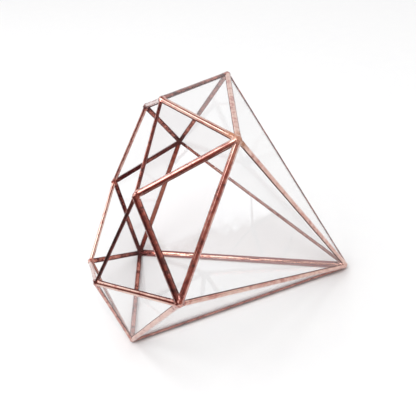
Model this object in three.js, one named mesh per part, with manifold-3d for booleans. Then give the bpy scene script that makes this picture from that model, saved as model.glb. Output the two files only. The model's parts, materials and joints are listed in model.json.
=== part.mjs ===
// Geometric glass terrarium: an empty, six-sided faceted jar shaped like a cut gem, made by the copper foil
// method. Eighteen flat panes of 2 mm glass are wrapped along their edges in foil and joined by solder beads
// with a copper finish. The hexagon at the wide end has no pane: it is the mouth. The jar lies on one of its
// six long panes, so that the mouth looks up and to -X and the point lies at +X.
//
// Millimetres, +Z up. The floor is z = 0, and the origin is under the middle of the jar's bounding box.

import * as THREE from "three";
import { mergeVertices } from "three/addons/utils/BufferGeometryUtils.js";
import Module from "manifold-3d";

// The gem's outline, to the middle of the glass. Each row of panes has SIDES panes round the jar's axis.
const SIDES = 6;
const GIRDLE_RADIUS = 100; // axis to each corner of the widest hexagon
const MOUTH_RADIUS = 71.3; // axis to each corner of the open hexagon
const COLLAR_HEIGHT = 42.7; // widest hexagon to the mouth, along the axis
const POINT_DEPTH = 138.3; // widest hexagon to the point, along the axis

// Glass.
const GLASS = 2; // thickness
const GLASS_INSET = 1.1; // the pane's edge stops this far from the line where two panes would meet
const GAP = 0.3; // clearance between each piece and its neighbours

// Seams: foil wings on both faces of the glass, with solder domed over them.
const WING = 2.05; // the foil's reach onto the glass, from the line where two panes meet
const RIM_WING = 1.8; // the same round the mouth, where the foil folds over a single pane
const WING_HEIGHT = 1.6; // middle of the glass to the top of the seam at the wing's edge
const DOME = 1.3; // how far the outer bead's curve is pulled out over the seam
const RIM_ROUND = 0.95; // the mouth's bead goes this far past the edge of the gem's outline
const OUTER_STEPS = 6; // straight facets across the outer bead
const INNER_STEPS = 3; // and across the inner one

// Joints: a rounded lump of solder wherever seams meet.
const GIRDLE_JOINT = 2.9; // radius
const MOUTH_JOINT = 2.6;
const POINT_JOINT = 4;
const JOINT_DETAIL = 2; // subdivisions of the lump's facets

// The three seams that the jar lies on are dressed flat, this far below the middle of their pane's glass.
const REST_DEPTH = 1.75;
const REST_SIDE = 3; // the long pane that lies on the floor, counted round the axis from the uppermost one

const FAR = 400; // size of the blocks used as cutting planes
const MERGE = 1e-4; // vertices closer than this are one

const wasm = await Module();
wasm.setup();

// ---- closed meshes as solids, and back -------------------------------------------------------------------

function toSolid(geometry, matrix = new THREE.Matrix4()) {
  const bare = geometry.index ? geometry.toNonIndexed() : geometry.clone();
  bare.deleteAttribute("normal");
  bare.deleteAttribute("uv");
  bare.applyMatrix4(matrix);
  const merged = mergeVertices(bare, MERGE);
  return new wasm.Manifold(
    new wasm.Mesh({
      numProp: 3,
      vertProperties: merged.attributes.position.array,
      triVerts: new Uint32Array(merged.index.array),
    }),
  );
}

function toMesh(name, solid, material) {
  const made = solid.getMesh();
  const geometry = new THREE.BufferGeometry();
  geometry.setAttribute("position", new THREE.BufferAttribute(made.vertProperties, 3));
  geometry.setIndex(new THREE.BufferAttribute(made.triVerts, 1));
  geometry.computeVertexNormals();
  const mesh = new THREE.Mesh(geometry, material);
  mesh.name = name;
  return mesh;
}

// A block that fills everything past a plane, on the side that its normal points to.
function beyond(place, normal) {
  const turn = new THREE.Quaternion().setFromUnitVectors(new THREE.Vector3(0, 0, 1), normal);
  const centre = place.clone().addScaledVector(normal, FAR / 2);
  const matrix = new THREE.Matrix4().compose(centre, turn, new THREE.Vector3(1, 1, 1));
  return toSolid(new THREE.BoxGeometry(FAR, FAR, FAR), matrix);
}

// The lump of solder at a corner, made larger by room where it has to stay clear.
function lump({ place, joint }, room = 0) {
  const matrix = new THREE.Matrix4().makeTranslation(place);
  return toSolid(new THREE.IcosahedronGeometry(joint + room, JOINT_DETAIL), matrix);
}

// ---- the gem's corners, panes and seams, with its axis along +Z ----------------------------------------

function corner(radius, turns, height, joint) {
  const angle = (2 * Math.PI * turns) / SIDES;
  const place = new THREE.Vector3(radius * Math.cos(angle), radius * Math.sin(angle), height);
  return { place, joint };
}

const sides = Array.from({ length: SIDES }, (_, side) => side);
const next = (side) => (side + 1) % SIDES;
const last = (side) => (side + SIDES - 1) % SIDES;

const girdle = sides.map((k) => corner(GIRDLE_RADIUS, k + 0.5, 0, GIRDLE_JOINT));
const mouth = sides.map((k) => corner(MOUTH_RADIUS, k, COLLAR_HEIGHT, MOUTH_JOINT));
const point = corner(0, 0, -POINT_DEPTH, POINT_JOINT);

// A pane's corners run anticlockwise as seen from outside, so its normal points out.
function pane(name, ...corners) {
  const [a, b, c] = corners.map((each) => each.place);
  const normal = b.clone().sub(a).cross(c.clone().sub(a)).normalize();
  return { name, corners, normal };
}

const longPanes = sides.map((k) => pane(`long_pane_${k + 1}`, point, girdle[k], girdle[last(k)]));
const shoulderPanes = sides.map((k) => pane(`shoulder_pane_${k + 1}`, girdle[last(k)], girdle[k], mouth[k]));
const rimPanes = sides.map((k) => pane(`rim_pane_${k + 1}`, girdle[k], mouth[next(k)], mouth[k]));
const panes = [...longPanes, ...shoulderPanes, ...rimPanes];

// A seam runs along the edge of one pane or two, and may carry the lump of solder at one of its ends.
function seam(name, ends, joined, carries = null) {
  return { name, ends, joined, carries };
}

const seams = sides.flatMap((k) => {
  const [number, leftCollar, rightCollar] = [k + 1, 2 * k + 1, 2 * k + 2];
  const after = next(k);
  return [
    seam(`long_seam_${number}`, [point, girdle[k]], [longPanes[k], longPanes[after]]),
    seam(`girdle_seam_${number}`, [girdle[last(k)], girdle[k]], [longPanes[k], shoulderPanes[k]], girdle[k]),
    seam(`collar_seam_${leftCollar}`, [girdle[k], mouth[k]], [shoulderPanes[k], rimPanes[k]]),
    seam(`collar_seam_${rightCollar}`, [girdle[k], mouth[after]], [rimPanes[k], shoulderPanes[after]]),
    seam(`mouth_seam_${number}`, [mouth[k], mouth[after]], [rimPanes[k]], mouth[k]),
  ];
});

// Everything below the plane that the resting pane's seams are dressed to.
const restPane = longPanes[REST_SIDE];
const dressed = point.place.clone().addScaledVector(restPane.normal, REST_DEPTH);
const underFloor = beyond(dressed, restPane.normal);

// ---- glass -----------------------------------------------------------------------------------------------

// The two points where a corner of a flat triangle is nipped off, square to its bisector, on edges moved in
// by inset.
function nippedCorner(here, before, after, inset, clear) {
  const back = before.clone().sub(here).normalize();
  const ahead = after.clone().sub(here).normalize();
  const half = back.angleTo(ahead) / 2;
  const bisector = back.add(ahead).normalize();
  const square = new THREE.Vector2(-bisector.y, bisector.x);
  const spread = clear * Math.tan(half) - inset / Math.cos(half);
  const middle = here.clone().addScaledVector(bisector, clear);
  return [1, -1].map((side) => middle.clone().addScaledVector(square, side * spread));
}

// A pane's outline as a flat plate, with its edges moved in and its corners nipped off clear of the joints.
function plate({ corners, normal }, inset, thickness, nip) {
  const places = corners.map((each) => each.place);
  const across = places[1].clone().sub(places[0]).normalize();
  const up = normal.clone().cross(across);
  const basis = new THREE.Matrix4().makeBasis(across, up, normal).setPosition(places[0]);
  const toPlane = basis.clone().invert();
  const flat = places.map((each) => {
    const { x, y } = each.clone().applyMatrix4(toPlane);
    return new THREE.Vector2(x, y);
  });
  const outline = flat.flatMap((here, i) => {
    const [before, after] = [flat[(i + 2) % 3], flat[(i + 1) % 3]];
    return nippedCorner(here, before, after, inset, corners[i].joint + nip);
  });
  const slab = new THREE.ExtrudeGeometry(new THREE.Shape(outline), { depth: thickness, bevelEnabled: false });
  slab.translate(0, 0, -thickness / 2);
  return toSolid(slab, basis);
}

const glassOf = (each) => plate(each, GLASS_INSET, GLASS, 2 * GAP);
const slotFor = (each) => plate(each, GLASS_INSET - GAP, GLASS + 2 * GAP, GAP);

// ---- seams -----------------------------------------------------------------------------------------------

// Direction square to an edge, lying in a pane and pointing across it.
function into({ corners }, from, along) {
  const across = new THREE.Vector3();
  for (const each of corners) {
    across.addScaledVector(each.place, 1 / corners.length);
  }
  across.sub(from);
  return across.addScaledVector(along, -across.dot(along)).normalize();
}

// Section of a seam between two panes that meet at twice the half angle: x runs across it and y points out.
function seamSection(half) {
  const tip = (side, height) =>
    new THREE.Vector2(
      side * (Math.sin(half) * WING + Math.cos(half) * height),
      -Math.cos(half) * WING + Math.sin(half) * height,
    );
  const ridge = WING_HEIGHT / Math.sin(half);
  const bead = (from, to, pull, steps) =>
    new THREE.QuadraticBezierCurve(from, new THREE.Vector2(0, pull), to).getPoints(steps);
  const outer = bead(tip(1, WING_HEIGHT), tip(-1, WING_HEIGHT), ridge + DOME, OUTER_STEPS);
  const inner = bead(tip(-1, -WING_HEIGHT), tip(1, -WING_HEIGHT), -ridge, INNER_STEPS);
  return new THREE.Shape([...outer, ...inner]);
}

// Section of the bead round the mouth, folded over one pane's edge: x runs across the pane and y points out.
function rimSection() {
  const shape = new THREE.Shape();
  shape.moveTo(RIM_WING, -WING_HEIGHT);
  shape.lineTo(RIM_WING, WING_HEIGHT);
  shape.lineTo(WING_HEIGHT - RIM_ROUND, WING_HEIGHT);
  shape.absarc(WING_HEIGHT - RIM_ROUND, 0, WING_HEIGHT, Math.PI / 2, (3 * Math.PI) / 2, false);
  return shape;
}

// The waste past a splitting plane through a corner, cut from the seam that goes away from it.
function waste({ place }, normal, away) {
  if (normal.dot(away) > 0) normal.negate();
  return beyond(place.clone().addScaledVector(normal, -GAP / 2), normal);
}

// The plane that splits a pane's corner between the two seams on it.
function paneSplit({ corners, normal }, here) {
  const bisector = new THREE.Vector3();
  for (const each of corners) {
    if (each !== here) bisector.add(each.place.clone().sub(here.place).normalize());
  }
  return bisector.cross(normal).normalize();
}

// The plane that splits a corner of the mouth between the two beads on its rim.
const mouthSplit = ({ place }) => new THREE.Vector3(0, 0, 1).cross(place).normalize();

// A seam as a straight length of its section, laid along its edge.
function seamRod({ ends, joined }) {
  const [from, to] = ends;
  const along = to.place.clone().sub(from.place);
  const depth = along.length();
  along.normalize();
  const ways = joined.map((each) => into(each, from.place, along));
  const single = joined.length === 1;
  const outward = single ? joined[0].normal : ways[0].clone().add(ways[1]).normalize().negate();
  const sideways = outward.clone().cross(along);
  const section = single ? rimSection() : seamSection(Math.PI - ways[0].angleTo(outward));
  const rod = new THREE.ExtrudeGeometry(section, { depth, bevelEnabled: false, curveSegments: OUTER_STEPS });
  if (single && ways[0].dot(sideways) < 0) {
    rod.rotateZ(Math.PI); // the section is the same upside down, so a half turn points it across the pane
  }
  return toSolid(rod, new THREE.Matrix4().makeBasis(sideways, outward, along).setPosition(from.place));
}

function seamSolid(each) {
  let solid = seamRod(each);
  for (const [here, there] of [each.ends, [...each.ends].reverse()]) {
    const away = there.place.clone().sub(here.place);
    for (const edged of each.joined) {
      solid = solid.subtract(waste(here, paneSplit(edged, here), away));
    }
    if (each.joined.length === 1) {
      solid = solid.subtract(waste(here, mouthSplit(here), away));
    }
    solid = here === each.carries ? solid.add(lump(here)) : solid.subtract(lump(here, GAP));
  }
  for (const edged of each.joined) {
    solid = solid.subtract(slotFor(edged));
  }
  return solid.subtract(underFloor);
}

// ---- the jar ---------------------------------------------------------------------------------------------

const glass = () =>
  new THREE.MeshStandardMaterial({
    color: 0xf4f6f5,
    roughness: 0.02,
    metalness: 0,
    transparent: true,
    opacity: 0.2,
  });
const copper = () => new THREE.MeshStandardMaterial({ color: 0x9c5a4a, roughness: 0.35, metalness: 1 });

const jar = new THREE.Group();
for (const each of panes) {
  jar.add(toMesh(each.name, glassOf(each), glass()));
}
for (const each of seams) {
  jar.add(toMesh(each.name, seamSolid(each), copper()));
}
jar.add(toMesh("point_joint", lump(point).subtract(underFloor), copper()));

// Laid down: the resting pane's normal turns to straight down, and its dressed seams come to z = 0.
const apothem = GIRDLE_RADIUS * Math.cos(Math.PI / SIDES);
jar.rotation.y = Math.atan2(apothem, POINT_DEPTH) - Math.PI / 2;
const terrarium = new THREE.Group();
terrarium.add(jar);
terrarium.updateMatrixWorld(true);
const box = new THREE.Box3().setFromObject(jar, true);
jar.position.set(-(box.min.x + box.max.x) / 2, -(box.min.y + box.max.y) / 2, -box.min.z);

export default terrarium;
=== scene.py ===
# %% [markdown]
# # A faceted glass jar with copper-finished seams
# The real object is an empty terrarium, cut like a gem: eighteen triangles of clear 2 mm glass, each wrapped
# along its edges in copper foil and soldered to its neighbours. The imported CAD model gives every pane and every
# seam its place. This script keeps the flat panes, which are right as they are, and gives them real glass. It
# models the solder afresh, because the charm of such a jar is in the hand-laid metal.

# %% Load the imported model, with its parts grouped into bodies
import json
import math

import bmesh
import bpy
from mathutils import Matrix, Vector, noise

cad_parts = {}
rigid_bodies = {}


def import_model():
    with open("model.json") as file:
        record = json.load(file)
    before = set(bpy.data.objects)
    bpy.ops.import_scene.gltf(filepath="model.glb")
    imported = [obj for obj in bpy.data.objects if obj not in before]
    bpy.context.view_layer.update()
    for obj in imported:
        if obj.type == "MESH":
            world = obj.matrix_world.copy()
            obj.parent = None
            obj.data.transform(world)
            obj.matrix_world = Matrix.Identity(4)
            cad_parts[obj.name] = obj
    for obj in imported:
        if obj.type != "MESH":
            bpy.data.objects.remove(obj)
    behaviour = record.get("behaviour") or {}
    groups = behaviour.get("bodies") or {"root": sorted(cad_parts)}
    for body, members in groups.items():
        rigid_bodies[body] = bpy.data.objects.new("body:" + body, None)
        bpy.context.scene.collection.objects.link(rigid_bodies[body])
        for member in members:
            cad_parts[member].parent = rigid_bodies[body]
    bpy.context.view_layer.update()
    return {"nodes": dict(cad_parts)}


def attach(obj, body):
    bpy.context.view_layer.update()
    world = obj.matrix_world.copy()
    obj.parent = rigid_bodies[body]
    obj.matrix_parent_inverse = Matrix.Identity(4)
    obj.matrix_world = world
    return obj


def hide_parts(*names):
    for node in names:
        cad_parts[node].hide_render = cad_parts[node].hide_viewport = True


for leftover in list(bpy.data.objects):
    bpy.data.objects.remove(leftover)
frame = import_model()
scene = bpy.context.scene

# %% [markdown]
# ## The gem's corners
# All the metal follows the straight lines between thirteen corners: six round the widest hexagon (the girdle),
# six round the open mouth, and the point. Working them out from the same few dimensions as the CAD model is
# safer than copying coordinates, and it gives each pane's outward direction too.

# %% Corners from the jar's own dimensions, in metres
MM = 0.001
SIDES = 6
GIRDLE_RADIUS = 100 * MM
MOUTH_RADIUS = 71.3 * MM
COLLAR_HEIGHT = 42.7 * MM
POINT_DEPTH = 138.3 * MM
GIRDLE_TURN = 0.5  # in sides: each girdle corner stands between two of the mouth's
JAR_PLACE = Vector((-22.279, 0, 75.149)) * MM  # the girdle's centre, once the jar lies on its side

apothem = GIRDLE_RADIUS * math.cos(math.pi / SIDES)
lean = math.atan2(apothem, POINT_DEPTH) - math.pi / 2
lay_down = Matrix.Translation(JAR_PLACE) @ Matrix.Rotation(lean, 4, "Y")


def corner_at(radius, turns, height):
    """A corner of the upright jar, carried along as the jar is laid on its side."""
    angle = 2 * math.pi * turns / SIDES
    return lay_down @ Vector((radius * math.cos(angle), radius * math.sin(angle), height))


girdle = [corner_at(GIRDLE_RADIUS, k + GIRDLE_TURN, 0) for k in range(SIDES)]
mouth = [corner_at(MOUTH_RADIUS, k, COLLAR_HEIGHT) for k in range(SIDES)]
point = corner_at(0, 0, -POINT_DEPTH)
print("point at", [round(v / MM, 1) for v in point], "top of the mouth at", [round(v / MM, 1) for v in mouth[0]])

# %% Panes and seams between the corners


def pane(a, b, c):
    """A triangle of glass, with its direction away from the jar."""
    return {"corners": (a, b, c), "normal": (b - a).cross(c - a).normalized()}


def seam(a, b, *joined):
    """The line between two corners, and the panes that it joins."""
    return {"ends": (a, b), "joined": joined}


def after(k):
    """The next corner round the jar."""
    return (k + 1) % SIDES


long_panes = [pane(point, girdle[k], girdle[k - 1]) for k in range(SIDES)]
shoulder_panes = [pane(girdle[k - 1], girdle[k], mouth[k]) for k in range(SIDES)]
rim_panes = [pane(girdle[k], mouth[after(k)], mouth[k]) for k in range(SIDES)]
panes = long_panes + shoulder_panes + rim_panes

long_seams, girdle_seams, collar_seams, mouth_seams = [], [], [], []
for k in range(SIDES):
    n = after(k)
    long_seams.append(seam(point, girdle[k], long_panes[k], long_panes[n]))
    girdle_seams.append(seam(girdle[k - 1], girdle[k], long_panes[k], shoulder_panes[k]))
    collar_seams.append(seam(girdle[k], mouth[k], shoulder_panes[k], rim_panes[k]))
    collar_seams.append(seam(girdle[k], mouth[n], rim_panes[k], shoulder_panes[n]))
    mouth_seams.append(seam(mouth[k], mouth[n], rim_panes[k]))
all_seams = long_seams + girdle_seams + collar_seams + mouth_seams
print("panes:", len(panes), "seams:", len(all_seams))

# %% [markdown]
# ## What sets one seam apart from the next
# No two seams of a handmade jar match: the patina took more on one than on another, and the seams that the jar
# was pressed down on are flatter and wider. A few numbers for each seam show that, and are easier to correct
# than a picture painted over the whole jar.

# %% How strongly the patina took on each seam, in the order of the lists above
LONG_AGE = (0.85, 0.05, -0.05, 0.50, 0.10, 0.12)
GIRDLE_AGE = (0.15, 0.62, -0.05, 0.50, 0.15, 0.40)
COLLAR_AGE = (0.85, 0.85, 0.60, 1.00, 0.78, 0.60, 0.30, 0.40, 0.05, 0.80, 0.56, 0.04)
MOUTH_AGE = (0.40, 0.30, 0.00, 0.40, 0.95, 0.60)
for each, age in zip(all_seams, LONG_AGE + GIRDLE_AGE + COLLAR_AGE + MOUTH_AGE):
    each["age"] = age
print("strength of patina, on average:", round(sum(each["age"] for each in all_seams) / len(all_seams), 2))

# %% How wide and how high each seam is, in mm
# The foil reaches over the glass from the line of the seam, outside and inside, and the bead stands over the
# glass's own ridge. The two long seams that the jar lies on were pressed flat, so they spread, and the top one
# is worn low.
LONG_REACH = (1.2, 1.4, 3.0, 2.6, 1.7, 1.3)
LONG_INNER_REACH = (1.4, 1.6, 1.75, 1.7, 1.9, 1.7)
LONG_RISE = (0.15, 0.5, 0.55, 0.55, 0.55, 0.5)
REACH, INNER_REACH, RISE = 1.9, 2.1, 0.7
for i, each in enumerate(all_seams):
    own = i < SIDES  # the long seams come first, and only they have values of their own
    each["reach"] = (LONG_REACH[i] if own else REACH) * MM
    each["inner_reach"] = (LONG_INNER_REACH[i] if own else INNER_REACH) * MM
    each["rise"] = (LONG_RISE[i] if own else RISE) * MM
print("widest seam in mm:", round(max(2 * each["reach"] for each in all_seams) / MM, 2))

# %% Joints with a colour of their own
# Some joints are darker than their seams. Below zero the patina is thinner, and far below zero it was rubbed
# through and the metal went dull.
GIRDLE_JOINT_AGE = (0.0, 1.0, 1.1, 0.0, 0.30, -0.52)
MOUTH_JOINT_AGE = (0.0, 0.1, 0.15, -0.1, 0.1, -0.2)
joint_ages = list(zip(girdle + mouth, GIRDLE_JOINT_AGE + MOUTH_JOINT_AGE))
print("joints with their own colour:", sum(more != 0 for _, more in joint_ages))

# %% [markdown]
# ## The section of a seam
# Copper foil is folded over each pane's edge, so a thin flat wing lies on both faces of the glass. Solder then
# fills the corner: outside it stands up as a rounded bead, inside it is a low fillet. A plain round rod would
# lose the wings, which catch the light like the glass beside them. So the section is drawn point by point, and
# each point says which way a careless hand would push it.

# %% A seam between two panes: points as (across, outward), each with the way it may wander
HALF_GLASS = 1.0 * MM
BITE = 0.02 * MM  # the foil's glue line, so that no film of air shows between foil and glass
EDGE_INSET = 1.1 * MM  # where the glass ends, from the line of the seam
# A wing's points, each as its way back from the foil's edge and its height over the glass, in mm.
WING_POINTS = ((0.0, 0.08), (0.05, 0.14), (0.15, 0.18), (0.25, 0.23))
WING_WANDER = (1.0, 1.0, 0.4, 0.0)  # how much of the cut edge's wander each of them takes
FOOT = (0.40, 0.36)  # where the bead begins, measured in the same way
FOOT_WANDER = 0.3
INNER_FOOT = (0.65, 0.34)
INNER_RISE = 0.95 * MM
BEAD_PULL = 0.62  # how far out the bead stays full, as a share of the way to its foot
BEAD_STEPS = 6


def curve_points(start, pull, end, steps):
    """Points on a quadratic curve, without its two ends."""
    at = [i / steps for i in range(1, steps)]
    return [start * (1 - t) ** 2 + pull * 2 * t * (1 - t) + end * t * t for t in at]


def corner_section(half, reach, inner_reach, rise, slotted=True):
    """A seam between two panes that meet at twice the half angle."""
    sine, cosine = math.sin(half), math.cos(half)

    def place(side, across, height):
        """A point that far along one pane and that high over its middle, as (across, outward)."""
        return Vector((side * (sine * across + cosine * height), -cosine * across + sine * height))

    def wing(side, face):
        """From the foil's edge to the foot of the bead, on the outer face (1) or the inner one (-1)."""
        made = []
        edge = reach if face > 0 else inner_reach
        for (back, height), loose in zip(WING_POINTS, WING_WANDER):
            spot = place(side, edge - back * MM, face * (HALF_GLASS + height * MM))
            made.append((spot, (place(side, 1, 0) - place(side, 0, 0)) * loose))
        return made

    def slot(side, face):
        """The side of the slot that holds the glass, from the foil's edge to the glass's own edge."""
        edge = reach if face > 0 else inner_reach
        height = face * (HALF_GLASS - BITE)
        sway = place(side, 1, 0) - place(side, 0, 0)
        return [(place(side, edge, height), sway), (place(side, EDGE_INSET - BITE, height), sway * 0)]

    out = Vector((0, 1))
    foot = [place(side, reach - FOOT[0] * MM, HALF_GLASS + FOOT[1] * MM) for side in (1, -1)]
    inner = [place(side, inner_reach - INNER_FOOT[0] * MM, -HALF_GLASS - INNER_FOOT[1] * MM) for side in (1, -1)]
    crest = Vector((0, HALF_GLASS / sine + rise))
    fillet = Vector((0, -HALF_GLASS / sine - INNER_RISE))
    points = wing(1, 1) + [(foot[0], out * FOOT_WANDER)]
    points += [(p, out) for p in curve_points(foot[0], Vector((BEAD_PULL * foot[0].x, crest.y)), crest, BEAD_STEPS)]
    points += [(crest, out)]
    points += [(p, out) for p in curve_points(crest, Vector((BEAD_PULL * foot[1].x, crest.y)), foot[1], BEAD_STEPS)]
    points += [(foot[1], out * FOOT_WANDER)] + wing(-1, 1)[::-1]
    if slotted:
        points += slot(-1, 1) + slot(-1, -1)[::-1]
    points += wing(-1, -1) + [(inner[1], out * 0)]
    points += [(p, -out) for p in curve_points(inner[1], fillet, inner[0], BEAD_STEPS)]
    points += [(inner[0], out * 0)] + wing(1, -1)[::-1]
    if slotted:
        points += slot(1, -1) + slot(1, 1)[::-1]
    return points


RIGHT_ANGLE = math.pi / 2
print("points round a seam:", len(corner_section(RIGHT_ANGLE / 2, REACH * MM, INNER_REACH * MM, RISE * MM)))

# %% The bead round the mouth
# Its upper side, each point as its reach over the pane and its height over the glass, in mm.
RIM_POINTS = ((1.55, 0.08), (1.48, 0.13), (1.3, 0.18), (1.0, 0.24), (0.6, 0.32), (0.15, 0.38))
RIM_EDGE_ENDS = 2  # the points before this one are the foil's cut edge, which sways
RIM_BEAD_STARTS = 4  # and from this one on they are the bead, which swells
RIM_FOLD = 0.05 * MM
RIM_ROUND = 0.75 * MM
RIM_STEPS = 8


def rim_section(slotted=True):
    """The bead round the mouth, folded over one pane's edge. Across the section is into the pane here."""
    top = []
    for i, (reach, height) in enumerate(RIM_POINTS):
        sway = Vector((int(i < RIM_EDGE_ENDS), int(i >= RIM_BEAD_STARTS)))
        top.append((Vector((reach * MM, HALF_GLASS + height * MM)), sway))
    tall = top[-1][0].y
    middle = top[-1][0].x - RIM_FOLD
    bow = []
    for i in range(1, RIM_STEPS):
        angle = math.pi * i / RIM_STEPS
        way = Vector((-math.sin(angle), math.cos(angle)))
        bow.append((Vector((middle + way.x * (middle + RIM_ROUND), way.y * tall)), way))
    under = [(Vector((p.x, -p.y)), Vector((w.x, -w.y))) for p, w in reversed(top)]
    points = top + bow + under
    if slotted:
        high = HALF_GLASS - BITE
        side, none = Vector((1, 0)), Vector((0, 0))
        tip, root = RIM_POINTS[0][0] * MM, EDGE_INSET - BITE
        points += [(Vector((tip, -high)), side), (Vector((root, -high)), none)]
        points += [(Vector((root, high)), none), (Vector((tip, high)), side)]
    return points


print("points round the rim:", len(rim_section()))

# %% [markdown]
# ## Laying a seam
# The section becomes a ring of vertices, the ring's face is extruded along the seam, and the long edges are
# subdivided into stations a little under a millimetre apart. That gives a clean tube that can then be made to
# look hand-laid: the bead swells and sinks, the foil's cut edge wanders, and the metal rises towards each joint.

# %% The directions and the section of a seam


def seam_axes(each):
    """Across, outward and along, and half the angle between the panes. The rim has no such angle."""
    start, end = each["ends"]
    along = (end - start).normalized()
    ways = []
    for edged in each["joined"]:
        middle = sum(edged["corners"], Vector()) / 3 - start
        ways.append((middle - along * middle.dot(along)).normalized())
    if len(ways) == 1:
        return ways[0], each["joined"][0]["normal"], along, None
    outward = -(ways[0] + ways[1]).normalized()
    return outward.cross(along), outward, along, math.pi - ways[0].angle(outward)


def section_of(each, slotted=True):
    """A seam's section, with the slots that hold the glass or without them."""
    half = seam_axes(each)[3]
    if half is None:
        return rim_section(slotted)
    return corner_section(half, each["reach"], each["inner_reach"], each["rise"], slotted)


print("the long panes meet at", round(math.degrees(2 * seam_axes(long_seams[0])[3])), "degrees")

# %% A tube of that section
STATION = 0.85 * MM


def seam_tube(each, points, first, last):
    """A closed tube of a section from one distance along a seam to another, cut into stations.
    Two layers keep the way that each point may wander."""
    across, outward, along, _ = seam_axes(each)
    bm = bmesh.new()
    layer_a = bm.verts.layers.float.new("wander_a")
    layer_b = bm.verts.layers.float.new("wander_b")
    ring = []
    for place, way in points:
        v = bm.verts.new(each["ends"][0] + across * place.x + outward * place.y + along * first)
        v[layer_a], v[layer_b] = way.x, way.y
        ring.append(v)
    cap = bm.faces.new(ring)
    grown = bmesh.ops.extrude_face_region(bm, geom=[cap], use_keep_orig=True)["geom"]
    moved = {g for g in grown if isinstance(g, bmesh.types.BMVert)}
    bmesh.ops.translate(bm, vec=along * (last - first), verts=list(moved))
    lengthwise = [e for e in bm.edges if (e.verts[0] in moved) != (e.verts[1] in moved)]
    cuts = max(1, round((last - first) / STATION) - 1)
    bmesh.ops.subdivide_edges(bm, edges=lengthwise, cuts=cuts)
    return bm


def gather(bm, tube):
    """Adds a finished tube to a larger mesh."""
    for label in ("wander_a", "wander_b"):
        tube.verts.layers.float.remove(tube.verts.layers.float[label])
    passing = bpy.data.meshes.new("passing")
    tube.to_mesh(passing)
    tube.free()
    bm.from_mesh(passing)
    bpy.data.meshes.remove(passing)


print("stations along a mouth seam:", round((mouth[1] - mouth[0]).length / STATION))

# %% A careful hand is still a hand
FLARE = 0.25 * MM  # how far the bead rises where it runs into a joint
FLARE_LENGTH = 3.2 * MM
SWELL = 0.09 * MM  # the slow swelling of the bead
SWELL_PITCH = 7.5 * MM
RIPPLE = 0.006 * MM  # small ripples where the iron paused
RIPPLE_PITCH = 2.1 * MM
FOIL_LANE, BEAD_LANE, SEAM_LANE, RIPPLE_LANE = 3, 5, 11.3, 40  # steps through the noise: no two sides look alike
STILL = 1e-6


def hand_laid(bm, each, number):
    """Moves a tube's points the way solder and foil wander, the same way every run."""
    across, outward, along, _ = seam_axes(each)
    start, end = each["ends"]
    length = (end - start).length
    layer_a, layer_b = bm.verts.layers.float["wander_a"], bm.verts.layers.float["wander_b"]
    for v in bm.verts:
        way = across * v[layer_a] + outward * v[layer_b]
        if way.length_squared < STILL:
            continue
        run = (v.co - start).dot(along)
        lane = round(v[layer_b]) * BEAD_LANE + SEAM_LANE * number
        side = Vector((0, round(v[layer_a], 1) * FOIL_LANE, lane))
        swell = noise.noise(side + Vector((run / SWELL_PITCH, 0, 0)))
        ripple = noise.noise(side + Vector((run / RIPPLE_PITCH, RIPPLE_LANE, 0)))
        rise = math.exp(-run / FLARE_LENGTH) + math.exp((run - length) / FLARE_LENGTH)
        v.co += way * (SWELL * swell + RIPPLE * ripple + FLARE * rise)


print("the bead swells by", round(SWELL / MM, 3), "mm")

# %% A piece out of a mesh
SHARP = math.radians(38)  # edges that turn by more than this stay crisp


def new_piece(name, bm):
    """Closes a mesh, sets its faces outwards and smooth but for real edges, and makes it an object."""
    bmesh.ops.recalc_face_normals(bm, faces=bm.faces)
    for face in bm.faces:
        face.smooth = True
    for edge in bm.edges:
        edge.smooth = not (edge.is_manifold and edge.calc_face_angle(0) > SHARP)
    mesh = bpy.data.meshes.new(name)
    bm.to_mesh(mesh)
    bm.free()
    piece = bpy.data.objects.new(name, mesh)
    scene.collection.objects.link(piece)
    return piece


def dress_flat(bm):
    """The jar lies on three seams that were ironed flat: nothing may pass below the floor."""
    for v in bm.verts:
        v.co.z = max(v.co.z, 0.0)


print("edges over", round(math.degrees(SHARP)), "degrees stay crisp")

# %% Lay all thirty seams, each kind as one piece
TRIM = 2.9 * MM  # a seam's tube ends this far from the corner, inside the joint


def solder_run(name, seams, first_number):
    """Several seams of one kind as one piece."""
    bm = bmesh.new()
    for i, each in enumerate(seams):
        length = (each["ends"][1] - each["ends"][0]).length
        tube = seam_tube(each, section_of(each), TRIM, length - TRIM)
        hand_laid(tube, each, first_number + i)
        gather(bm, tube)
    dress_flat(bm)
    piece = new_piece(name, bm)
    piece.data.calc_loop_triangles()
    print(name, "triangles:", len(piece.data.loop_triangles))
    return piece


long_solder = solder_run("long_solder", long_seams, first_number=0)
girdle_solder = solder_run("girdle_solder", girdle_seams, first_number=10)
collar_solder = solder_run("collar_solder", collar_seams, first_number=20)
mouth_solder = solder_run("mouth_solder", mouth_seams, first_number=40)

# %% [markdown]
# ## Joints
# Where seams meet, the solder pools: the beads melt into one rounded lump, and webs of metal fill the narrow
# corners between them. Sculpting that by hand would be slow. Instead each joint starts as a ball with a few
# drops and a short sleeve on every seam. A voxel remesh melts them into one skin, smoothing rounds the creases
# into webs, and a little noise gives the dents of real solder. The sleeves' thin far ends dive under the seams,
# so no step shows. At the jar's point they start a little way back, or six of them would make too long a lump.

# %% A sleeve that tapers along its seam
SLEEVE_NEAR = 0.34 * MM  # how much fatter than the seam it is at the corner
SLEEVE_FAR = -0.28 * MM  # and at its far end


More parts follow.
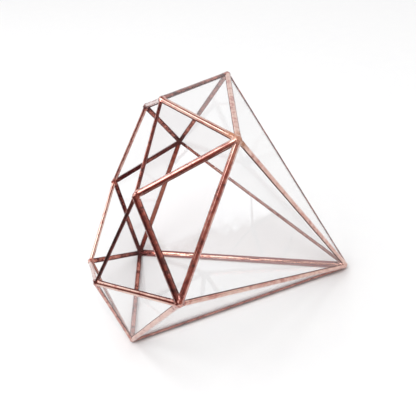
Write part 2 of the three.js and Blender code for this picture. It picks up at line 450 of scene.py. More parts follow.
def add_sleeve(bm, each, here, reach, back):
    """A short tapering copy of a seam's section, from near its corner outwards."""
    start, end = each["ends"]
    turned = here is end
    length = (end - start).length
    points = section_of(each, slotted=False)
    centre = sum((p for p, _ in points), Vector((0, 0))) / len(points)
    points = [(p, (p - centre).normalized()) for p, _ in points]
    first, last = (length - reach, length - back) if turned else (back, reach)
    tube = seam_tube(each, points, first, last)
    across, outward, along, _ = seam_axes(each)
    layer_a, layer_b = tube.verts.layers.float["wander_a"], tube.verts.layers.float["wander_b"]
    for v in tube.verts:
        run = (v.co - start).dot(along)
        run = (length - run if turned else run) / reach
        grow = SLEEVE_NEAR + (SLEEVE_FAR - SLEEVE_NEAR) * run
        v.co += (across * v[layer_a] + outward * v[layer_b]) * grow
    gather(bm, tube)


print("a sleeve tapers by", round((SLEEVE_NEAR - SLEEVE_FAR) / MM, 2), "mm")

# %% Melting shells into one skin
VOXEL = 0.34 * MM
MELT_ROUNDS = 7
MELT_FACTOR = 0.5


def melt(piece):
    """Turns overlapping shells into one smooth skin and keeps the result as the piece's mesh."""
    remesh = piece.modifiers.new("melt", "REMESH")
    remesh.mode = "VOXEL"
    remesh.voxel_size = VOXEL
    remesh.use_smooth_shade = True
    smooth = piece.modifiers.new("flow", "SMOOTH")
    smooth.factor = MELT_FACTOR
    smooth.iterations = MELT_ROUNDS
    bpy.context.view_layer.update()
    evaluated = piece.evaluated_get(bpy.context.evaluated_depsgraph_get())
    melted = bpy.data.meshes.new_from_object(evaluated)
    piece.modifiers.clear()
    old, piece.data = piece.data, melted
    bpy.data.meshes.remove(old)
    melted.name = piece.name


print("details under", round(VOXEL / MM, 2), "mm melt away")

# %% A joint: a ball, sleeves and drops
BALL_SQUASH = 0.82
DROP_LIFT = 0.6 * MM
DROP_ASIDE, DROP_ASIDE_MORE = 1.4, 0.9  # in mm: the least, and what the noise adds at most
DROP_SIZE, DROP_SIZE_MORE = 0.7, 0.5
CORNER_LANE, DROP_LANE, THIRD_LANE = 7.1, 3.7, 0.5  # steps through the noise, as for the seams
DENT = 0.16 * MM
DENT_PITCH = 2.6 * MM
PIMPLE = 0.05 * MM
PIMPLE_PITCH = 0.8 * MM
PIMPLE_SHIFT = Vector((9, 9, 9))


def corner_outward(here):
    """The direction away from the jar at a corner."""
    near = [p["normal"] for p in panes if here in p["corners"]]
    return sum(near, Vector()).normalized()


def add_drops(bm, here, outward, lift, drops, lane):
    """Small balls of solder round a corner, where the noise puts them."""
    for j in range(drops):
        draw = noise.noise_vector(Vector((lane, DROP_LANE * j, THIRD_LANE)))
        aside = (draw - outward * draw.dot(outward)).normalized()
        spot = here + outward * (lift + DROP_LIFT) + aside * (DROP_ASIDE + DROP_ASIDE_MORE * abs(draw.x)) * MM
        size = (DROP_SIZE + DROP_SIZE_MORE * abs(draw.y)) * MM
        bmesh.ops.create_icosphere(bm, subdivisions=2, radius=size, matrix=Matrix.Translation(spot))


def solder_joints(name, corners, ball, lift, reach, drops, seed, back=0.0):
    """A ball, drops and sleeves at each corner, melted together as one piece."""
    bm = bmesh.new()
    for i, here in enumerate(corners):
        outward = corner_outward(here)
        turn = outward.to_track_quat("Z", "Y").to_matrix().to_4x4()
        squashed = Matrix.Diagonal((1, 1, BALL_SQUASH, 1))
        place = Matrix.Translation(here + outward * lift) @ turn @ squashed
        bmesh.ops.create_icosphere(bm, subdivisions=3, radius=ball, matrix=place)
        add_drops(bm, here, outward, lift, drops, seed + CORNER_LANE * i)
        for each in all_seams:
            if here in each["ends"]:
                add_sleeve(bm, each, here, reach, back)
    piece = new_piece(name, bm)
    melt(piece)
    bm = bmesh.new()
    bm.from_mesh(piece.data)
    bm.normal_update()
    for v in bm.verts:
        dent = noise.noise(v.co / DENT_PITCH)
        pimple = noise.noise(v.co / PIMPLE_PITCH + PIMPLE_SHIFT)
        v.co += v.normal * (DENT * dent + PIMPLE * pimple)
    dress_flat(bm)
    bm.to_mesh(piece.data)
    bm.free()
    piece.data.calc_loop_triangles()
    print(name, "triangles:", len(piece.data.loop_triangles))
    return piece


# %% Make the thirteen joints
girdle_joints = solder_joints("girdle_joints", girdle, ball=2.2 * MM, lift=0.0, reach=7.0 * MM, drops=3, seed=1.0)
mouth_joints = solder_joints("mouth_joints", mouth, ball=1.9 * MM, lift=0.0, reach=6.0 * MM, drops=2, seed=50.0)
point_solder = solder_joints(
    "point_solder", [point], ball=2.0 * MM, lift=-1.2 * MM, reach=11.0 * MM, drops=3, seed=90.0, back=1.6 * MM)

# %% [markdown]
# ## Where the patina lies
# The finish differs over a seam. Outside it was buffed and waxed, and inside no cloth could reach, so it has no
# wax and is painted darker: partly unbuffed patina, partly painted shade in the jar's hollow, and most of all
# painted shade in the crease along the foil's edge. The side of the foil that is glued to the glass is dull. Those
# are facts of the shape, so each point stores them: "inner" is 1 inside the jar, "backing" is 1 on the glued
# side, "edge" is 1 along the foil's edge, and "age" says how strongly the patina took there.

# %% Store four masks on every metal piece


def seam_distance(spot, each):
    """How far a point is from the line of a seam."""
    start, end = each["ends"]
    along = end - start
    share = min(1, max(0, (spot - start).dot(along) / along.length_squared))
    return (spot - start - along * share).length


AGE_BLEND = 1.2 * MM  # how softly one seam's patina runs into the next one's
JOINT_GLOW = 12 * MM  # how far a joint's own colour runs along its seams
INNER_FADE = 1.6 * MM  # over this depth the outside turns into the inside
INNER_START = 0.5
GLUED = 0.005 * MM  # a point this near to the face of a pane is glued to it
GLUED_OFF_LINE = 0.9 * MM  # unless it is this near to the line of the seam
# the edge mask serves only the painted shade along the foil's edge inside the jar
EDGE_START, EDGE_FADE = 0.45, 0.35  # as shares of the foil's reach


def mark_places(piece, seams, buffed_and_unshaded=False):
    """Writes four masks for each point. A seam that a cloth reaches from all round has no inner side, so it keeps
    its wax and gets no painted shade.
    """
    faces = [(p["normal"], p["normal"].dot(p["corners"][0])) for p in panes]
    ways = [seam_axes(each)[0] for each in seams]
    masks = {"inner": [], "backing": [], "edge": [], "age": []}
    for v in piece.data.vertices:
        outside = max(n.dot(v.co) - d for n, d in faces)
        on_glass = min(abs(abs(n.dot(v.co) - d) - (HALF_GLASS - BITE)) for n, d in faces)
        apart = [seam_distance(v.co, each) for each in seams]
        near = min(apart)
        share = [math.exp((near - d) / AGE_BLEND) for d in apart]
        own_age = sum(w * each["age"] for w, each in zip(share, seams)) / sum(share)
        extra = sum(more * math.exp(-((v.co - here).length / JOINT_GLOW) ** 2) for here, more in joint_ages)
        own = apart.index(near)
        across = abs((v.co - seams[own]["ends"][0]).dot(ways[own])) / seams[own]["inner_reach"]
        masks["inner"].append(0.0 if buffed_and_unshaded else min(1, max(0, INNER_START - outside / INNER_FADE)))
        masks["backing"].append(1.0 if on_glass < GLUED and near > GLUED_OFF_LINE else 0.0)
        masks["edge"].append(min(1, max(0, (across - EDGE_START) / EDGE_FADE)))
        masks["age"].append(own_age + extra)
    for label, values in masks.items():
        stored = piece.data.attributes.new(label, "FLOAT", "POINT")
        stored.data.foreach_set("value", values)
    print(piece.name, {label: round(sum(values) / len(values), 2) for label, values in masks.items()})


mark_places(long_solder, long_seams)
mark_places(girdle_solder, girdle_seams)
mark_places(collar_solder, collar_seams)
mark_places(mouth_solder, mouth_seams, buffed_and_unshaded=True)
mark_places(girdle_joints, all_seams)
mark_places(mouth_joints, all_seams)
mark_places(point_solder, long_seams)

# %% [markdown]
# ## Node helpers
# Every material below is built from nodes. Written out, that is long lists of nodes and links, so a few small
# helpers say what is meant instead: mix two colours, stretch a range, multiply, mask by noise, start a group.

# %% Helpers for nodes


def add_node(tree, kind, values=None, **settings):
    """A shader node of that kind. values sets sockets by name, settings sets the node's own properties."""
    made = tree.nodes.new("ShaderNode" + kind)
    for key, value in settings.items():
        setattr(made, key, value)
    for key, value in (values or {}).items():
        made.inputs[key].default_value = value
    return made


def link(source, target):
    """Links two sockets. A socket knows which tree it is in."""
    source.id_data.links.new(source, target)


def give(socket, value):
    """Gives a socket its value: another socket's, a plain number or a plain colour."""
    if isinstance(value, bpy.types.NodeSocket):
        link(value, socket)
    else:
        socket.default_value = (*value, 1) if isinstance(value, tuple) else value


def mix_colours(share, first, second):
    """One colour or the other by a mask."""
    mixer = add_node(share.id_data, "Mix", data_type="RGBA")
    link(share, mixer.inputs["Factor"])
    for name, colour in (("A", first), ("B", second)):
        give([s for s in mixer.inputs if s.name == name and s.type == "RGBA"][0], colour)
    return [s for s in mixer.outputs if s.type == "RGBA"][0]


def fit_range(source, low, high, to_low=0.0, to_high=1.0):
    """A value stretched from one range to another, and held there."""
    fitted = add_node(source.id_data, "MapRange", {
        "From Min": low, "From Max": high, "To Min": to_low, "To Max": to_high})
    link(source, fitted.inputs["Value"])
    return fitted.outputs["Result"]


def maths(operation, first, second):
    """One step of arithmetic. One side may be a plain number."""
    known = first if isinstance(first, bpy.types.NodeSocket) else second
    made = add_node(known.id_data, "Math", operation=operation)
    give(made.inputs[0], first)
    give(made.inputs[1], second)
    return made.outputs["Value"]


def times(first, second):
    return maths("MULTIPLY", first, second)


def plus(first, second):
    return maths("ADD", first, second)


def noise_mask(vector, scale, detail, low, high, roughness=0.55):
    """Noise with that many features per metre. Its part from low to high becomes 0 to 1."""
    grain = add_node(vector.id_data, "TexNoise", {"Scale": scale, "Detail": detail, "Roughness": roughness})
    link(vector, grain.inputs["Vector"])
    return fit_range(grain.outputs["Fac"], low, high)


def new_group(name, inlets, outlets):
    """A shader node group with a Vector inlet, inlets for numbers, and outlets."""
    group = bpy.data.node_groups.new(name, "ShaderNodeTree")
    group.interface.new_socket("Vector", in_out="INPUT", socket_type="NodeSocketVector")
    for label, value in inlets.items():
        group.interface.new_socket(label, in_out="INPUT", socket_type="NodeSocketFloat").default_value = value
    for label, kind in outlets.items():
        group.interface.new_socket(label, in_out="OUTPUT", socket_type="NodeSocket" + kind)
    return group, group.nodes.new("NodeGroupInput"), group.nodes.new("NodeGroupOutput")


# %% Helpers for materials


def new_material(name):
    """A material, its nodes, its shader, and where each point is on the object."""
    material = bpy.data.materials.new(name)
    material.use_nodes = True
    tree = material.node_tree
    place = add_node(tree, "TexCoord")
    return material, tree, tree.nodes["Principled BSDF"], place.outputs["Object"]


def feed(source, target, **pairs):
    """Links outputs of one node to inputs of another, by their names."""
    for outlet, inlet in pairs.items():
        link(source.outputs[outlet], target.inputs[inlet])


# %% [markdown]
# ## Copper patina
# The solder is silver under a copper plating that was brushed on as a liquid. It takes unevenly: salmon where
# it was buffed, brown-red where it is thick, near-black in the pits, and a dull tan where it was rubbed through.
# Wax gives the outside its gloss. The foil's glued side, seen through the glass, has none. One group works that
# out for any metal piece, from mottling, blotches, pits and the four stored masks, with inlets for how dark and
# how pitted it is. Noise does that better than a picture, because it stays crisp at the size of a pit. The group
# also paints shade: inside the jar, most of all along the foil's edge, and on the inner foil's glued side.

# %% Colours from buffed to black
BUFFED = (0.70, 0.45, 0.37)
BROWNED = (0.50, 0.172, 0.132)
DEEP = (0.085, 0.018, 0.019)
BLACKENED = (0.030, 0.010, 0.008)
DULL = (0.47, 0.205, 0.112)
FOIL_BACK = (0.30, 0.115, 0.115)
# painted shade: the inner foil's glued side, seen through the glass, is darker than the outer one's
FOIL_BACK_INSIDE_SHADED = (0.15, 0.050, 0.040)
print("red, from buffed to deep:", BUFFED[0], BROWNED[0], DEEP[0])

# %% Start the patina group
patina, p_in, p_out = new_group(
    "copper_patina",
    {"Inner": 0.0, "Backing": 0.0, "Edge": 0.0, "Age": 0.0, "Darkness": 0.3, "Pitting": 0.4},
    {"Color": "Color", "Roughness": "Float", "Wax": "Float", "Metal": "Float", "Height": "Float"},
)
where, age = p_in.outputs["Vector"], p_in.outputs["Age"]
inner, backing = p_in.outputs["Inner"], p_in.outputs["Backing"]
print("inlets:", [socket.name for socket in p_in.outputs if socket.name])

# %% Marks in the metal: mottling, blotches, specks and pits
# Each noise as its features per metre, its detail, and the part of it that becomes 0 to 1.
MOTTLE = (75, 3, 0.38, 0.66)
BLOTCH = (330, 4, 0.40, 0.72)
SPECK = (1300, 2, 0.60, 0.74)
PITS_PER_METRE = 430
PIT_SIZE = (0.14, 0.30, 1.0, 0.0)  # deep in the middle of a cell, then gone
PITS_WITH_AGE = (0.10, 0.40, 0.6, 1.8)  # old patina has the most pits

mottle = noise_mask(where, *MOTTLE)
blotch = noise_mask(where, *BLOTCH)
speck = noise_mask(where, *SPECK)
cells = add_node(patina, "TexVoronoi", {"Scale": PITS_PER_METRE, "Randomness": 1.0}, feature="F1")
link(where, cells.inputs["Vector"])
pit = fit_range(cells.outputs["Distance"], *PIT_SIZE)
pit = times(times(pit, blotch), p_in.outputs["Pitting"])
pit = times(pit, fit_range(age, *PITS_WITH_AGE))
print("mottling every", round(1000 / MOTTLE[0], 1), "mm")

# %% How dark it is at each point, painted shade inside the jar included
MOTTLE_SHARE = 0.35
BLOTCH_SHARE = 0.60
INNER_SIDE = (0.35, 0.65)  # where on the "inner" mask the inside begins
INSIDE_SHADE = 0.05  # how much darker the inside is, partly unbuffed patina and partly painted shade, and how much more so along the foil's edge, as painted shade in the crease
FOIL_EDGE_SHADE = 0.55

tarnish = plus(times(mottle, MOTTLE_SHARE), times(blotch, BLOTCH_SHARE))
tarnish = plus(plus(tarnish, age), p_in.outputs["Darkness"])
inside = fit_range(inner, *INNER_SIDE)
inner_shade = plus(times(p_in.outputs["Edge"], FOIL_EDGE_SHADE), INSIDE_SHADE)
tarnish = plus(tarnish, times(inside, inner_shade))
print("nodes so far:", len(patina.nodes))

# %% Its colour
BROWNING = (0.10, 0.60)
DEEPENING = (0.60, 1.15)
BARE_BLOTCHES = 0.16  # blotches break up the edge of a dull patch
BARE = (0.15, 0.42)  # how thin the patina is where it starts to be rubbed through, and where it is gone
SPECKS_WITH_TARNISH = 0.5

colour = mix_colours(fit_range(tarnish, *BROWNING), BUFFED, BROWNED)
colour = mix_colours(fit_range(tarnish, *DEEPENING), colour, DEEP)
bare = fit_range(maths("SUBTRACT", times(blotch, BARE_BLOTCHES), age), *BARE)
colour = mix_colours(bare, colour, DULL)
specks = times(speck, times(tarnish, SPECKS_WITH_TARNISH))
dirt = maths("MAXIMUM", pit, specks)
colour = mix_colours(dirt, colour, BLACKENED)
# the inner foil's glued side takes the darker colour, as painted shade
back = mix_colours(inner, FOIL_BACK, FOIL_BACK_INSIDE_SHADED)
colour = mix_colours(backing, colour, back)
link(colour, p_out.inputs["Color"])
print("nodes so far:", len(patina.nodes))

# %% Its gloss, wax and relief
DULLED = 0.8  # how much of the metal's shine a rubbed patch loses
CLEAN_TO_TARNISHED = (0, 1, 0.09, 0.20)
DIRT_ROUGHNESS = 0.3
INNER_ROUGHNESS = 0.05
BARE_ROUGHNESS = 0.5
WAX_OUTSIDE, WAX_INSIDE = 0.90, 0.0  # no cloth gets inside
RELIEF = (900, 3, 0.2, 0.8)
RELIEF_HEIGHT = 0.07
PIT_DEPTH = 0.5

unbacked = maths("SUBTRACT", 1.0, backing)
bright = times(unbacked, maths("SUBTRACT", 1.0, times(bare, DULLED)))
link(bright, p_out.inputs["Metal"])
rough = plus(fit_range(tarnish, *CLEAN_TO_TARNISHED), times(dirt, DIRT_ROUGHNESS))
rough = plus(rough, fit_range(inner, *INNER_SIDE, 0.0, INNER_ROUGHNESS))
rough = maths("MAXIMUM", rough, times(bare, BARE_ROUGHNESS))
rough = maths("MAXIMUM", rough, backing)  # glued to the glass, so no gloss of its own
link(rough, p_out.inputs["Roughness"])
wax = fit_range(inner, *INNER_SIDE, WAX_OUTSIDE, WAX_INSIDE)
link(times(wax, bright), p_out.inputs["Wax"])
relief = noise_mask(where, *RELIEF)
relief = maths("SUBTRACT", times(relief, RELIEF_HEIGHT), times(pit, PIT_DEPTH))
link(relief, p_out.inputs["Height"])
print("patina nodes:", len(patina.nodes))

# %% Two materials that use it: the seams, and the rougher joints
WAX_ROUGHNESS = 0.12
WAX_IOR = 2.0  # above real wax, because it also stands for the white glints of polished metal
BUMP_DEPTH = 0.12 * MM
MASKS = ("inner", "backing", "edge", "age")


def copper_material(name, darkness, pitting, bump):
    """A metal that reads the four stored masks, with its own darkness, pitting and strength of relief."""
    material, tree, shader, place = new_material(name)
    shader.inputs["Coat Roughness"].default_value = WAX_ROUGHNESS
    shader.inputs["Coat IOR"].default_value = WAX_IOR
    effect = add_node(tree, "Group", {"Darkness": darkness, "Pitting": pitting}, node_tree=patina)
    link(place, effect.inputs["Vector"])
    for mask in MASKS:
        reader = add_node(tree, "Attribute", attribute_name=mask)
        link(reader.outputs["Fac"], effect.inputs[mask.capitalize()])
    height = add_node(tree, "Bump", {"Strength": bump, "Distance": BUMP_DEPTH})
    feed(effect, height, Height="Height")
    feed(effect, shader, Color="Base Color", Roughness="Roughness", Wax="Coat Weight", Metal="Metallic")
    feed(height, shader, Normal="Normal")
    return material


seam_copper = copper_material("seam_copper", darkness=-0.22, pitting=1.0, bump=0.3)
joint_copper = copper_material("joint_copper", darkness=-0.22, pitting=1.0, bump=0.4)
print("materials:", seam_copper.name, joint_copper.name)

# %% [markdown]
# ## Glass
# Clear float glass is flat and almost colourless. What makes it look real is the faint film that hands leave on
# it: slightly duller patches that soften a reflection here and there. The film is a group of its own. Refracting
# glass is right for what the eye sees, but few rays find a lamp through it, so its shadow is too dark. Rays that
# look for a lamp or light the sheet meet a nearly clear surface instead. So do the metal's reflections of what
# is further off than a pane is thick, or each pane would dim them again.

# %% The film that hands leave on glass
SMEAR = (26, 4, 0.52, 0.78)
STREAK = (210, 3, 0.50, 0.80)
PULL = (14, 1, 0.0, 1.0)  # the slow waves that drawing out the sheet of glass left in it
FILM_ROUGHNESS = 0.10
CLEAN_GLASS = (0.968, 0.968, 0.970)
SMEARED_GLASS = (0.93, 0.93, 0.93)

film, f_in, f_out = new_group(
    "hand_film", {"Amount": 1.0}, {"Color": "Color", "Roughness": "Float", "Height": "Float"})
smear = noise_mask(f_in.outputs["Vector"], *SMEAR)
streak = noise_mask(f_in.outputs["Vector"], *STREAK)
haze = times(times(smear, streak), f_in.outputs["Amount"])
link(fit_range(haze, 0, 1, 0.0, FILM_ROUGHNESS), f_out.inputs["Roughness"])
link(mix_colours(haze, CLEAN_GLASS, SMEARED_GLASS), f_out.inputs["Color"])
link(noise_mask(f_in.outputs["Vector"], *PULL), f_out.inputs["Height"])
print("film nodes:", len(film.nodes))

# %% Glass that carries the film
GLASS_IOR = 1.52
PULL_STRENGTH = 0.05
PULL_DEPTH = 0.3 * MM

glass, tree, shader, place = new_material("clear_float_glass")
shader.inputs["Transmission Weight"].default_value = 1.0
shader.inputs["IOR"].default_value = GLASS_IOR
effect = add_node(tree, "Group", node_tree=film)
link(place, effect.inputs["Vector"])
wave = add_node(tree, "Bump", {"Strength": PULL_STRENGTH, "Distance": PULL_DEPTH})
feed(effect, wave, Height="Height")
feed(effect, shader, Color="Base Color", Roughness="Roughness")
feed(wave, shader, Normal="Normal")
print("glass nodes so far:", len(tree.nodes))

# %% Let lamps and the metal's reflections through
NEARLY_CLEAR = (0.99, 0.99, 0.99, 1)
ANY_MIRROR = 0.5  # a glossy depth above this says that something has mirrored the ray before
SLAB_CROSSING = 3 * MM  # longer than any way across a pane, so a longer ray comes from somewhere else

ray = add_node(tree, "LightPath")
clear = add_node(tree, "BsdfTransparent", {"Color": NEARLY_CLEAR})
either = add_node(tree, "MixShader")
lamp_or_floor = maths("MAXIMUM", ray.outputs["Is Shadow Ray"], ray.outputs["Is Diffuse Ray"])
far_off = maths("GREATER_THAN", ray.outputs["Ray Length"], SLAB_CROSSING)
mirrored = maths("GREATER_THAN", ray.outputs["Glossy Depth"], ANY_MIRROR)
from_metal = times(mirrored, far_off)
link(maths("MAXIMUM", lamp_or_floor, from_metal), either.inputs["Fac"])
link(shader.outputs["BSDF"], either.inputs[1])
link(clear.outputs["BSDF"], either.inputs[2])
link(either.outputs["Shader"], tree.nodes["Material Output"].inputs["Surface"])
print("glass nodes:", len(tree.nodes))

# %% [markdown]
# ## Dress the pieces
# Every new piece rides on the model's one body, hides the CAD nodes it stands for, and takes its slot. The
# CAD model's panes stay, and only get the glass.

# %% Materials, bodies and slots for the metal


def numbered(node, count):
    """The names of a row of CAD nodes."""
    return [f"{node}_{k + 1}" for k in range(count)]


DRESS = (
    (long_solder, seam_copper, numbered("long_seam", 6)),
    (girdle_solder, seam_copper, numbered("girdle_seam", 6)),
    (collar_solder, seam_copper, numbered("collar_seam", 12)),
    (mouth_solder, seam_copper, numbered("mouth_seam", 6)),
    (girdle_joints, joint_copper, numbered("girdle_seam", 6)),
    (mouth_joints, joint_copper, numbered("mouth_seam", 6)),
    (point_solder, joint_copper, ["point_joint"]),
)
for piece, material, nodes in DRESS:
    piece.data.materials.clear()
    piece.data.materials.append(material)
    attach(piece, "root")
    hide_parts(*nodes)
print("metal pieces:", len(DRESS))

# %% Glass for the panes
glazed = [node for name, node in frame["nodes"].items() if "pane" in name]
for node in glazed:
    for held in node.material_slots:
        held.material = glass
print("panes with glass:", len(glazed))

# %% [markdown]
# ## The surface it lies on
# The jar lies on a plain white sheet. Paper is dull, so one rough material with a faint grain does. The metal
# mirrors more of it than the picture shows, up to its end on a dark table. A second object for the table would
# show through the glass, so the sheet's edge is painted, for mirrored rays only. Those rays also see the sheet a
# little darker, as painted shade.

# %% A white sheet
FLOOR_RADIUS = 2.6
FLOOR_DROP = 0.15 * MM  # a hair under the jar, so that no two faces share a plane
FLOOR_SIDES = 96
PAPER_ROUGHNESS = 0.9
PAPER_SPECULAR = 0.2
PAPER_GRAIN = (60, 4, 0.3, 0.7)
PAPER_DIM, PAPER_BRIGHT = (0.86, 0.86, 0.865), (0.87, 0.87, 0.87)
SHEET_MIDDLE = (0.18, 0.20, 0.0)
SHEET_RADIUS, SHEET_FADE = 0.52, 0.05
# painted shade: how the sheet looks to mirrored rays, a little darker than to the eye
SHEET_SHADED_IN_MIRRORS = (0.83, 0.825, 0.825)
TABLE = (0.13, 0.07, 0.06)

bm = bmesh.new()
under = Matrix.Translation((0, 0, -FLOOR_DROP))
bmesh.ops.create_circle(bm, cap_ends=True, segments=FLOOR_SIDES, radius=FLOOR_RADIUS, matrix=under)
floor = new_piece("floor", bm)
paper, tree, shader, place = new_material("white_sheet")
shader.inputs["Roughness"].default_value = PAPER_ROUGHNESS
shader.inputs["Specular IOR Level"].default_value = PAPER_SPECULAR
grain = noise_mask(place, *PAPER_GRAIN)
white = mix_colours(grain, PAPER_DIM, PAPER_BRIGHT)
apart = add_node(tree, "VectorMath", operation="DISTANCE")
link(place, apart.inputs[0])
apart.inputs[1].default_value = SHEET_MIDDLE
beyond = fit_range(apart.outputs["Value"], SHEET_RADIUS, SHEET_RADIUS + SHEET_FADE)
ray = add_node(tree, "LightPath")
mirrored = maths("GREATER_THAN", ray.outputs["Glossy Depth"], ANY_MIRROR)
beyond = times(beyond, mirrored)
# painted shade on the sheet, for mirrored rays only
white = mix_colours(mirrored, white, SHEET_SHADED_IN_MIRRORS)
link(mix_colours(beyond, white, TABLE), shader.inputs["Base Color"])
floor.data.materials.append(paper)
print("the mirrored sheet ends", SHEET_RADIUS, "m from its middle")

# %% [markdown]
# ## The room that the metal mirrors
# Polished metal shows the room more than itself. A bright window high on the left gives each bead its thin
# highlight, the dark and pale walls give it its bands, and a blind makes a second, softer light. A room built
# from objects would be slow, and would light the scene in ways that are hard to steer. So it is painted on the
# sky, where only reflections see it. The eye sees plain white, straight on and through the panes.
# Azimuths are in degrees: 0 is behind the camera, and they grow towards +X. Heights are the elevation's sine.

# %% Helpers for painting the room


def azimuths(start, end):
    """Two azimuths, from degrees to radians."""
    return math.radians(start), math.radians(end)


def band(source, rising, falling):
    """1 between two soft edges, one rising and one falling."""
    return times(fit_range(source, *rising), fit_range(source, *falling, 1.0, 0.0))


world = bpy.data.worlds.new("room")
scene.world = world
world.use_nodes = True
tree = world.node_tree
tree.nodes.clear()
way = add_node(tree, "TexCoord")
parts = add_node(tree, "SeparateXYZ")
link(way.outputs["Generated"], parts.inputs["Vector"])
azimuth = maths("ARCTAN2", parts.outputs["X"], times(parts.outputs["Y"], -1.0))
height = parts.outputs["Z"]
print("room nodes so far:", len(tree.nodes))

# %% Walls: how pale they are all round, and higher up
WALLS = ((-180, 1.0), (180, 1.0), (-92, 1.0), (-79, 0.0), (-8, 0.0), (12, 0.2), (34, 0.42), (58, 0.55), (100, 1.0))
WALL_TOP = (0.74, 0.82, 1.0, 0.15)  # where the walls end, and what is left of them above
UPPER_GLOW = (0.38, 0.62, 0.0, 0.36)  # the dark side is never quite dark near the ceiling
UPPER_LEFT = (*azimuths(-70, -30), 0.5, 1.0)
CEILING = (0.93, 0.97, 1.0, 0.4)

turned = fit_range(azimuth, -math.pi, math.pi)
walls = add_node(tree, "ValToRGB")
link(turned, walls.inputs["Fac"])
stops = walls.color_ramp.elements
for i, (degrees, level) in enumerate(WALLS):
    stop = stops[i] if i < 2 else stops.new((degrees + 180) / 360)
    stop.color = (level, level, level, 1)
upper = fit_range(height, *UPPER_GLOW)
wall = times(walls.outputs["Color"], fit_range(height, *WALL_TOP))
upper = times(upper, fit_range(azimuth, *UPPER_LEFT))
paleness = maths("MAXIMUM", wall, upper)
paleness = times(paleness, fit_range(height, *CEILING))
print("walls:", [(round(360 * stop.position - 180), round(stop.color[0], 2)) for stop in stops])

# %% From paleness to colour, and the bright side at the left and behind
DARK_ROOM = (0.17, 0.070, 0.070)
WARM_ROOM = (0.64, 0.35, 0.29)
PALE_ROOM = (1.0, 0.985, 0.985)
TO_WARM, TO_PALE = (0.0, 0.5), (0.5, 1.0)
LIT_SIDE = (1.5, 1.5, 1.5)
LIT_SIDE_STARTS, LIT_SIDE_ENDS = azimuths(-168, -150), azimuths(-100, -86)
LIT_SIDE_TOP = (0.76, 0.81, 1.0, 0.0)
LIT_SIDE_FOOT = (0.0, 0.3)

warm = mix_colours(fit_range(paleness, *TO_WARM), DARK_ROOM, WARM_ROOM)
room = mix_colours(fit_range(paleness, *TO_PALE), warm, PALE_ROOM)
lit_side = band(azimuth, LIT_SIDE_STARTS, LIT_SIDE_ENDS)
lit_side = times(lit_side, fit_range(height, *LIT_SIDE_TOP))
lit_side = times(lit_side, fit_range(height, *LIT_SIDE_FOOT))
room = mix_colours(lit_side, room, LIT_SIDE)
print("lit side to dark side:", round(LIT_SIDE[0] / DARK_ROOM[0], 1))

# %% The window
WINDOW_TURN = (-116, -34)  # from azimuth to azimuth
WINDOW_RISE = (47, 70)  # and from elevation to elevation, in degrees
WINDOW_SOFT = math.radians(3)
WINDOW_SOFT_FOOT, WINDOW_SOFT_TOP = 0.01, 0.02
WINDOW_GLARE = (6.0, 6.0, 6.0)

left, right = azimuths(*WINDOW_TURN)
foot, top = [math.sin(math.radians(v)) for v in WINDOW_RISE]
width = band(azimuth, (left - WINDOW_SOFT, left + WINDOW_SOFT), (right - WINDOW_SOFT, right + WINDOW_SOFT))
rise = band(height, (foot - WINDOW_SOFT_FOOT, foot + WINDOW_SOFT_FOOT),
            (top - WINDOW_SOFT_TOP, top + WINDOW_SOFT_TOP))
window = times(width, rise)
print("window, in degrees:", WINDOW_TURN, WINDOW_RISE)

# %% The blind under its right end, over a slanting, ragged sill
SILL_SLANT = (*azimuths(-43, -31), 0.612, 0.692)
SILL_RAGGED = (22, 4, 0.3, 0.7, 0.6)
SILL_RAGGED_BY = 0.012
SILL_SOFT = 0.006
BLIND_STARTS, BLIND_ENDS = azimuths(-49, -47), azimuths(-29, -28)
BLIND_TOP = (0.76, 0.80, 1.0, 0.0)
BLIND_GLARE = (2.4, 2.4, 2.45)

sill = fit_range(azimuth, *SILL_SLANT)
ragged = noise_mask(way.outputs["Generated"], *SILL_RAGGED)
sill = plus(sill, fit_range(ragged, 0, 1, -SILL_RAGGED_BY, SILL_RAGGED_BY))
over = maths("SUBTRACT", height, sill)
blind = times(fit_range(over, -SILL_SOFT, SILL_SOFT), fit_range(azimuth, *BLIND_STARTS))
blind = times(blind, fit_range(azimuth, *BLIND_ENDS, 1.0, 0.0))
blind = times(blind, fit_range(height, *BLIND_TOP))
room = mix_colours(blind, room, BLIND_GLARE)
room = mix_colours(window, room, WINDOW_GLARE)
print("window to blind:", WINDOW_GLARE[0] / BLIND_GLARE[0])

# %% Who sees what: the painted room is for reflections alone
AMBIENT = (0.56, 0.56, 0.56)
WHITE = (1.0, 1.0, 1.0)

ray = add_node(tree, "LightPath")
direct = maths("LESS_THAN", ray.outputs["Glossy Depth"], ANY_MIRROR)
through = times(ray.outputs["Is Transmission Ray"], direct)
seen = maths("MAXIMUM", ray.outputs["Is Camera Ray"], through)
room = mix_colours(ray.outputs["Is Diffuse Ray"], room, AMBIENT)
room = mix_colours(seen, room, WHITE)
lit = add_node(tree, "Background", {"Strength": 1.0})
link(room, lit.inputs["Color"])
finish = add_node(tree, "OutputWorld")
link(lit.outputs["Background"], finish.inputs["Surface"])
world.cycles.sampling_method = "NONE"  # rays that look for a lamp skip the room, so its window casts no shadow
print("room nodes:", len(tree.nodes))

# %% [markdown]
# ## The soft light
# One large light high on the left gives the jar its soft shadow to the right. A small lamp would draw hard lines
# under every seam. Reflections don't see it, because the painted window is there already.

# %% A rectangular light that faces the jar
LIGHT_TARGET = Vector((0, 0, 60)) * MM


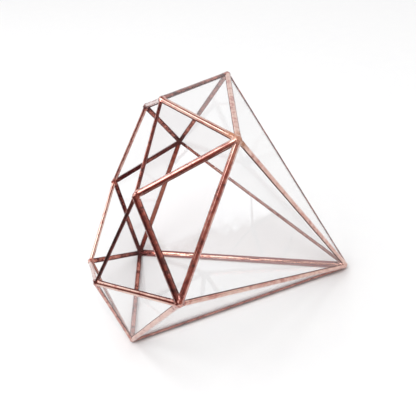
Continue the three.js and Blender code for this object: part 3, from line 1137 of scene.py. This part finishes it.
def soft_light(name, azimuth, elevation, distance, width, height, radiance):
    """A rectangular light at that azimuth and elevation, in degrees."""
    a, e = math.radians(azimuth), math.radians(elevation)
    way = Vector((math.sin(a) * math.cos(e), -math.cos(a) * math.cos(e), math.sin(e)))
    data = bpy.data.lights.new(name, "AREA")
    data.shape = "RECTANGLE"
    data.size, data.size_y = width, height
    data.energy = radiance * width * height * math.pi
    lamp = bpy.data.objects.new(name, data)
    lamp.location = LIGHT_TARGET + way * distance
    lamp.rotation_euler = (-way).to_track_quat("-Z", "Y").to_euler()
    lamp.visible_camera = False
    lamp.visible_transmission = False
    scene.collection.objects.link(lamp)
    return lamp


fill = soft_light("sky", azimuth=-60, elevation=66, distance=2.6, width=3.0, height=3.0, radiance=2.62)
fill.visible_glossy = False
print("light at", [round(v, 2) for v in fill.location])

# %% [markdown]
# ## The camera
# The photograph was taken from above the front, with the mouth to the left. Place, direction and focal length
# come from laying the gem's thirteen corners over it. An angle judged by eye would put the many crossing seams
# a few millimetres off.

# %% The camera, at the photograph's angle
CAMERA_PLACE = Vector((17.49, -359.91, 312.47)) * MM
CAMERA_FORWARD = Vector((-0.04631, 0.82982, -0.55611))
CAMERA_UP = Vector((0.13234, 0.55690, 0.81997))
FOCAL_PIXELS = 609.8
FRAME_PIXELS = 416
SENSOR = 36.0
NEAREST, FARTHEST = 0.01, 50

camera_data = bpy.data.cameras.new("camera")
camera_data.sensor_width = SENSOR
camera_data.lens = FOCAL_PIXELS / FRAME_PIXELS * SENSOR
camera_data.clip_start, camera_data.clip_end = NEAREST, FARTHEST
camera = bpy.data.objects.new("camera", camera_data)
to_right = CAMERA_FORWARD.cross(CAMERA_UP).normalized()
up = to_right.cross(CAMERA_FORWARD).normalized()
turn = Matrix((to_right, up, -CAMERA_FORWARD.normalized())).transposed().to_4x4()
camera.matrix_world = Matrix.Translation(CAMERA_PLACE) @ turn
scene.collection.objects.link(camera)
scene.camera = camera
print("lens in mm:", round(camera_data.lens, 1))

# %% How light is followed and shown
scene.view_settings.view_transform = "Standard"  # white paper stays white
tracing = scene.cycles
tracing.max_bounces = 20  # many faces of glass lie on one line of sight
tracing.transmission_bounces = 20
tracing.transparent_max_bounces = 32
tracing.caustics_refractive = False
tracing.caustics_reflective = True
tracing.sample_clamp_direct = 1.7  # brighter highlights would break into steps where they are thinner than a pixel
print("bounces:", tracing.max_bounces)
